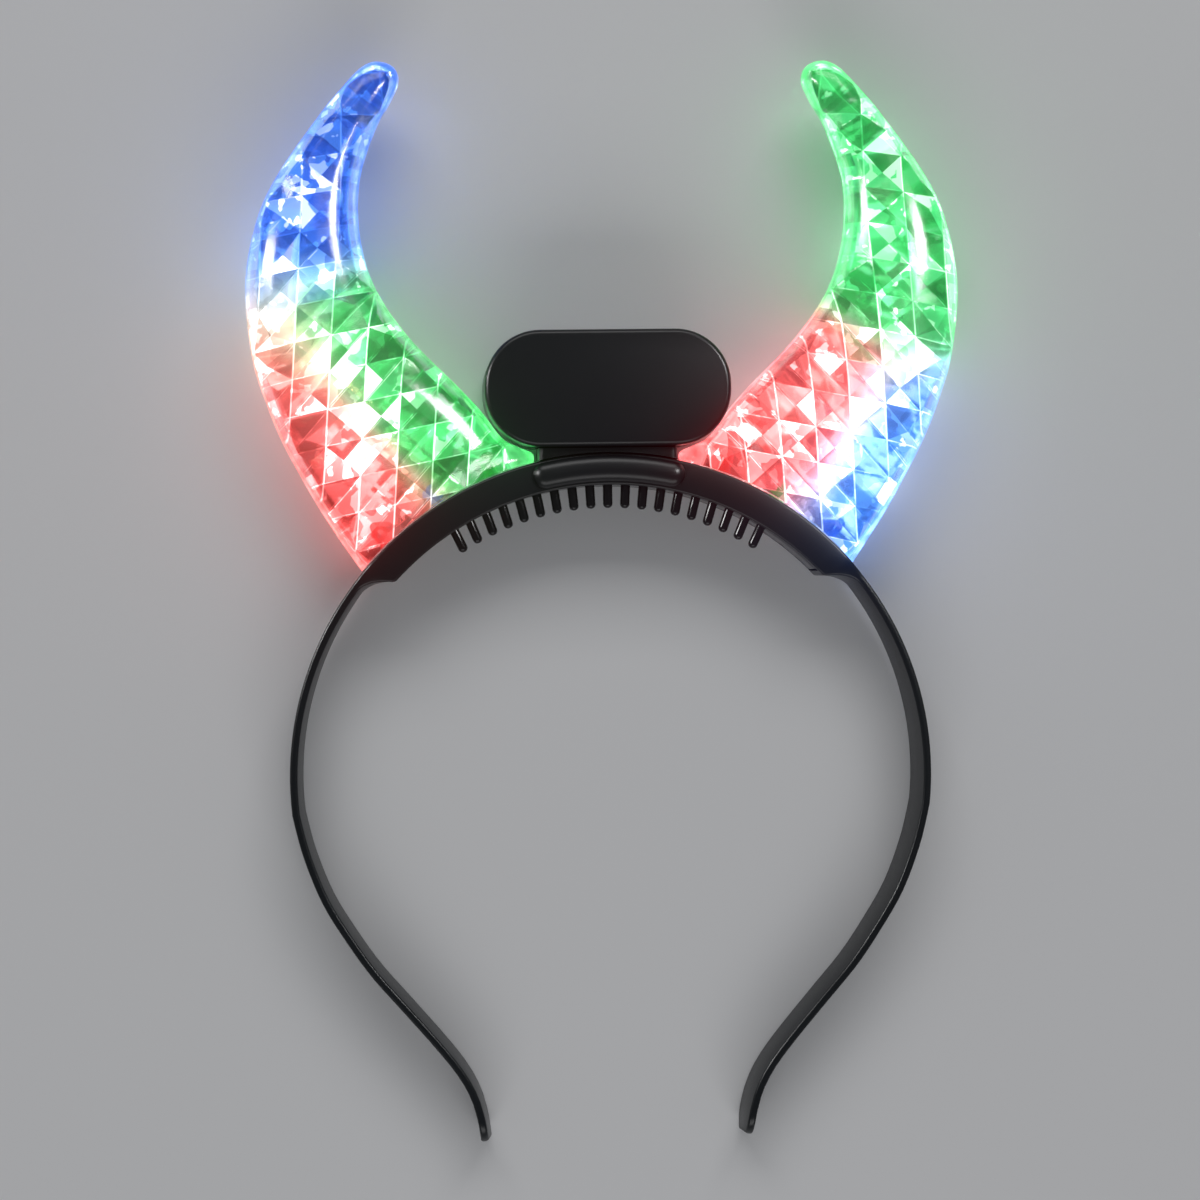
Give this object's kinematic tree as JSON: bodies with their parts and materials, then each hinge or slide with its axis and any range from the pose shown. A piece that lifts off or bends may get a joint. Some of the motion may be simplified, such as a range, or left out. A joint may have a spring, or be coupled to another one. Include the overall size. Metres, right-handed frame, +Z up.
{
  "type": "light-up devil horns headband",
  "caption": "Stiff curved headband with comb teeth, a rounded battery case on its crown and clear hollow devil horns that light up in red, green and blue.",
  "frame": {"origin": "middle of the underside: the point on the surface that the headband lies on, under the middle of its box", "axes": "+Y from the feet to the horns' tips, +Z up and out of the headband's front, +X to the wearer's left, which is the right in a view of the front"},
  "size_m": [0.15, 0.2264, 0.0205],
  "materials": {
    "band_plastic": "satin black moulded plastic with a fine grain",
    "comb_plastic": "glossy black moulded plastic",
    "case_plastic": "satin black moulded plastic with a fine grain",
    "clear_horn": "clear, glossy outside, cut in square pyramids inside",
    "red_lamp": "clear red lens",
    "green_lamp": "clear green lens",
    "blue_lamp": "clear blue lens"
  },
  "bodies": {
    "root": {"band": "band_plastic", "comb_strip": "comb_plastic", "pod_front_cover": "case_plastic", "pod_rear_case": "case_plastic", "left_horn_front_shell": "clear_horn", "left_horn_back_shell": "clear_horn", "right_horn_front_shell": "clear_horn", "right_horn_back_shell": "clear_horn", "left_lamp_outer": "red_lamp", "left_lamp_middle": "blue_lamp", "left_lamp_inner": "green_lamp", "right_lamp_outer": "blue_lamp", "right_lamp_middle": "green_lamp", "right_lamp_inner": "red_lamp"}
  },
  "joints": []
}
